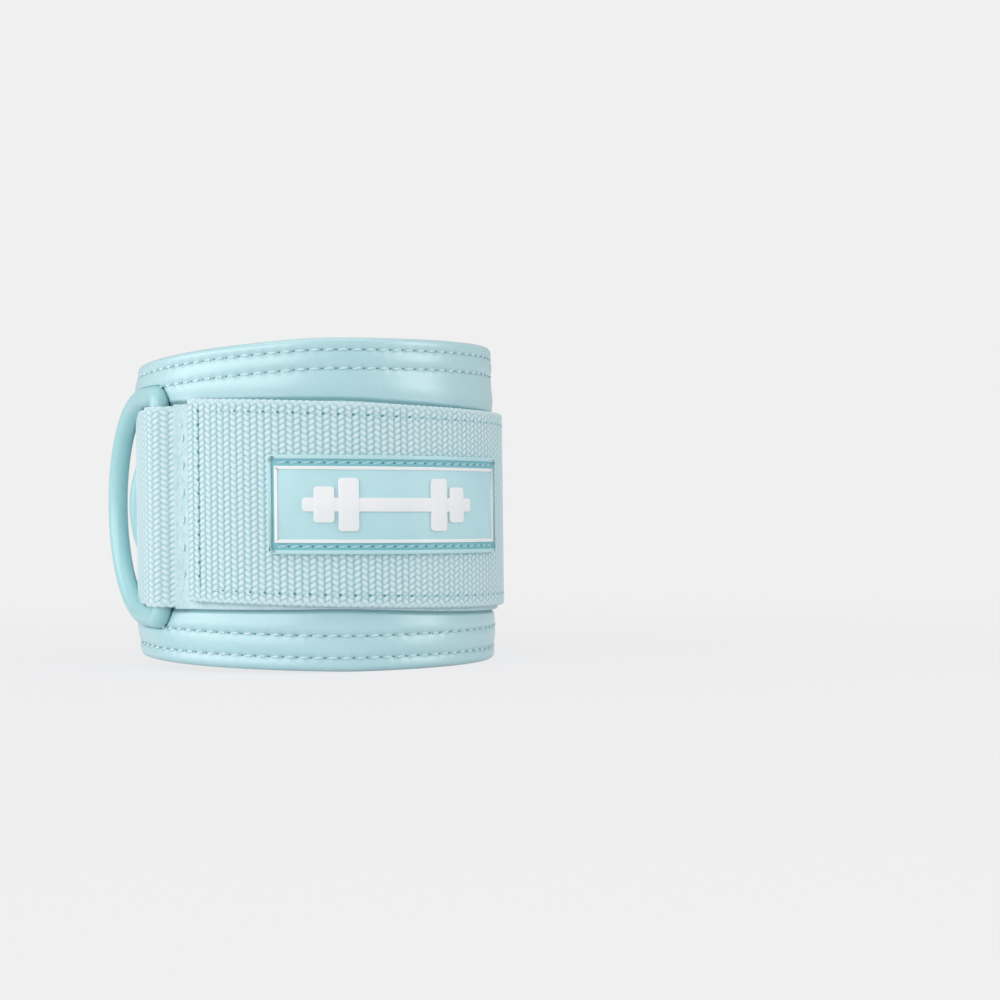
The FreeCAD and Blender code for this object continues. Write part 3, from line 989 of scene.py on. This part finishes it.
def rounded_block(left, right, half, low, high, corner, soft):
    mesh = bmesh.new()
    bmesh.ops.create_cube(mesh, size=1.0)
    for v in mesh.verts:
        v.co = Vector(((left + right) / 2 + v.co.x * (right - left), v.co.y * 2 * half,
                       (low + high) / 2 + v.co.z * (high - low)))
    upright = [e for e in mesh.edges if abs(e.verts[0].co.z - e.verts[1].co.z) > 1e-6]
    bmesh.ops.bevel(mesh, geom=upright, offset=corner, segments=4, profile=0.5,
                    affect="EDGES", material=-1)
    top = [e for e in mesh.edges if all(v.co.z > high - 1e-7 for v in e.verts)]
    bmesh.ops.bevel(mesh, geom=top, offset=soft, segments=3, profile=0.5,
                    affect="EDGES", material=-1)
    return mesh


def put_on_strap(mesh, name, finish, slot, *nodes):
    wrapped_on_patch(mesh)
    made = finished(mesh, name, finish, "strap_middle_section")
    if nodes:
        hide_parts(*nodes)


def make_patch():
    half = PATCH_LENGTH / 2
    slab = rounded_block(-half + 0.6 * MM, half - 0.6 * MM, PATCH_HALF - 0.6 * MM, 0.05 * MM,
                         0.62 * MM, 0.6 * MM, 0.12 * MM)
    sliced(slab, half)
    put_on_strap(slab, "patch_channel", PATCH_GROOVE, "patch_rubber", "patch_base")

    # Each raised frame: its inset at the ends and along the sides, width, foot, top, finish.
    frames = (
        ("patch_rim", 0.0, 0.0, 1.05 * MM, 0.04 * MM, 1.15 * MM, 0.9 * MM, 0.25 * MM, PATCH_RUBBER,
         "patch_rubber", ()),
        ("patch_border_line", 1.75 * MM, 2.75 * MM, 0.85 * MM, 0.5 * MM, 1.12 * MM, 0.4 * MM,
         0.12 * MM, PATCH_WHITE, "patch_white", ("patch_border",)),
    )
    for name, ends, sides, wide, foot, top, corner, soft, finish, slot, nodes in frames:
        outer = (half - ends, PATCH_HALF - sides)
        ring = raised_frame(outer, (outer[0] - wide, outer[1] - wide), foot, top, corner, soft)
        sliced(ring, half)
        put_on_strap(ring, name, finish, slot, *nodes)

    field = rounded_block(-half + 2.5 * MM, half - 2.5 * MM, PATCH_HALF - 3.5 * MM, 0.5 * MM,
                          0.84 * MM, 0.3 * MM, 0.05 * MM)
    sliced(field, half)
    put_on_strap(field, "patch_field", PATCH_RUBBER, "patch_rubber")

    emblem_half = 23.5 * MM
    plate, gap = 5.0 * MM, 1.0 * MM
    knob = 2.8 * MM
    shift = 2.6 * MM
    small = -emblem_half + knob
    large = small + plate + gap
    parts = []
    for left, right, tall, top in (
            (-emblem_half, emblem_half, 3.4 * MM, 1.30 * MM),
            (large, large + plate, 13.0 * MM, 1.44 * MM),
            (-large - plate, -large, 13.0 * MM, 1.44 * MM),
            (small, small + plate, 8.8 * MM, 1.37 * MM),
            (-small - plate, -small, 8.8 * MM, 1.37 * MM)):
        block = rounded_block(left - shift, right - shift, tall / 2, 0.7 * MM, top,
                              min(0.9 * MM, tall / 3), 0.12 * MM)
        sliced(block, half)
        parts.append(block)
    put_on_strap(joined(parts), "patch_dumbbell", PATCH_WHITE, "patch_white", "patch_emblem")

    threads, hole_shades = bmesh.new(), bmesh.new()
    pitch = 2.9 * MM
    run = 2 * half - 4.4 * MM
    count = int(run / pitch)
    lean = 0.22
    along = Vector((math.cos(lean), math.sin(lean), 0))
    aside = Vector((-math.sin(lean), math.cos(lean), 0))
    out = Vector((0, 0, 1))
    for up in (1, -1):
        y = up * (PATCH_HALF - 1.9 * MM)
        for i in range(count):
            x = -run / 2 + run * (i + 0.5) / count
            bead(threads, Vector((x, y, 0.68 * MM)), along, aside, out, pitch * 0.82, 0.62 * MM,
                 0.26 * MM)
            # Painted shade: a flat dark disc beside each stitch stands for the shade in its needle hole.
            bead(hole_shades, Vector((x + run / count / 2, y, 0.63 * MM)), along, aside, out,
                 0.7 * MM, 0.5 * MM, 0.05 * MM)
    put_on_strap(threads, "patch_stitches", PATCH_THREAD, "thread", "patch_stitching")
    put_on_strap(hole_shades, "patch_needle_hole_shade", HOLE_SHADE, "thread")


make_patch()


# ---------------------------------------------------------------- rings

for node in ("front_d_ring", "rear_d_ring"):
    ring = NODES[node]
    ring.data.materials.clear()
    ring.data.materials.append(ENAMEL)


# ---------------------------------------------------------------- room, light and camera

def pale_room():
    f = Finish("pale_room")
    lit = f.node("ShaderNodeBsdfDiffuse", {}, {"Color": srgb(225, 225, 227)})
    glow = f.node("ShaderNodeEmission", {}, {"Color": srgb(240, 240, 241), "Strength": 1.0})
    path = f.tree.nodes.new("ShaderNodeLightPath")
    seen = Value(f, path.outputs["Is Camera Ray"])
    glossy = Value(f, path.outputs["Is Glossy Ray"])
    away = f.node("ShaderNodeVectorMath", {"operation": "LENGTH"}, {0: f.place()}, "Value")
    pale = f.ramp(away, 0.09, 0.4, 0.88, 1.0)
    share = (seen * pale + glossy * 0.4).clamped()
    mixed = f.node("ShaderNodeMixShader", {}, {0: share, 1: lit, 2: glow})
    f.tree.links.new(mixed.socket, f.output.inputs["Surface"])
    return f.material


def room():
    mesh = bmesh.new()
    bmesh.ops.create_grid(mesh, x_segments=1, y_segments=1, size=6.0)
    floor = finished(mesh, "floor", pale_room(), shade=False)


def lamp(name, place, target, size, power):
    data = bpy.data.lights.new(name, "AREA")
    data.shape = "RECTANGLE"
    data.size, data.size_y = size
    data.energy = power
    made = bpy.data.objects.new(name, data)
    made.location = place
    made.rotation_euler = (Vector(target) - Vector(place)).to_track_quat("-Z", "Y").to_euler()
    bpy.context.scene.collection.objects.link(made)


room()
lamp("left_window", (-0.95, -0.62, 0.30), (0, 0, 0.04), (2.3, 1.2), 16.5)
lamp("right_fill", (1.2, -0.45, 0.45), (0, 0, 0.04), (0.7, 1.1), 5.6)
lamp("top_fill", (0.0, -0.1, 1.3), (0, 0, 0.04), (1.2, 1.2), 3.5)

world = bpy.data.worlds.new("soft_room")
world.use_nodes = True
sky = world.node_tree
sky.nodes.clear()
dim = sky.nodes.new("ShaderNodeBackground")
dim.inputs["Color"].default_value = srgb(240, 240, 241)
dim.inputs["Strength"].default_value = 0.57
bright = sky.nodes.new("ShaderNodeBackground")
bright.inputs["Color"].default_value = srgb(240, 240, 241)
rays = sky.nodes.new("ShaderNodeLightPath")
either = sky.nodes.new("ShaderNodeMixShader")
sky_out = sky.nodes.new("ShaderNodeOutputWorld")
sky.links.new(rays.outputs["Is Camera Ray"], either.inputs["Fac"])
sky.links.new(dim.outputs[0], either.inputs[1])
sky.links.new(bright.outputs[0], either.inputs[2])
sky.links.new(either.outputs[0], sky_out.inputs["Surface"])
bpy.context.scene.world = world

LENS = 78.6
EYE = (0.0, -0.581, 0.041)
YAW_RIGHT = 4.8071     # degrees
PITCH_DOWN = 0.0735    # degrees
ROLL = -0.7            # degrees

camera_data = bpy.data.cameras.new("camera")
camera_data.sensor_width = 36.0
camera_data.lens = LENS
camera_data.clip_start = 0.01
camera_data.dof.use_dof = False
camera = bpy.data.objects.new("camera", camera_data)
camera.location = EYE
camera.rotation_mode = "XYZ"
yaw = math.radians(YAW_RIGHT)
pitch = math.radians(PITCH_DOWN)
camera.matrix_world = (Matrix.Translation(camera.location) @ Matrix.Rotation(-yaw, 4, "Z")
                       @ Matrix.Rotation(math.pi / 2 + pitch, 4, "X")
                       @ Matrix.Rotation(math.radians(ROLL), 4, "Z"))
bpy.context.scene.collection.objects.link(camera)
bpy.context.scene.camera = camera
bpy.context.scene.view_settings.view_transform = "Standard"
